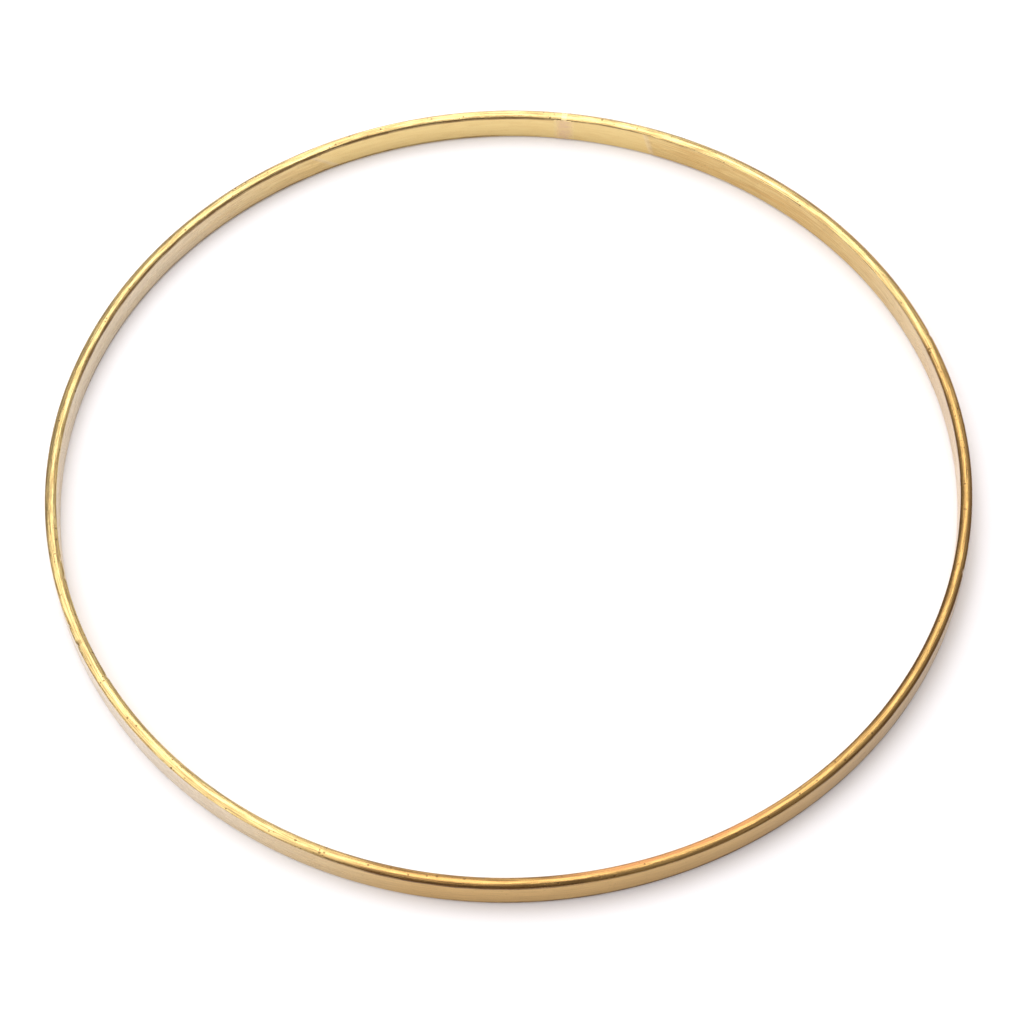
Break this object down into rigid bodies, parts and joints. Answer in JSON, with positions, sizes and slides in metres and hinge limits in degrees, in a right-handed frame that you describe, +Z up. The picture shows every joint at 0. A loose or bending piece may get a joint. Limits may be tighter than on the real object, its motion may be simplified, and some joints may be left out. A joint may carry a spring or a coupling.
{
  "type": "wreath frame",
  "caption": "Round hoop of flat brass bar standing on its narrow edge, closed by a brazed butt joint, on which a wreath is wired and hung.",
  "frame": {"origin": "centre of the hoop on the plane it rests on", "axes": "+Z up along the hoop's axis, +Y from the centre to the brazed joint"},
  "size_m": [0.254, 0.254, 0.0095],
  "materials": {
    "brass": "drawn brass bar with a satin, lightly streaked surface, worn bright along the rolled edges",
    "braze": "pale brazing metal, filed flush on the inside wall"
  },
  "bodies": {
    "root": {"hoop_bar": "brass", "braze_joint": "braze"}
  },
  "joints": []
}
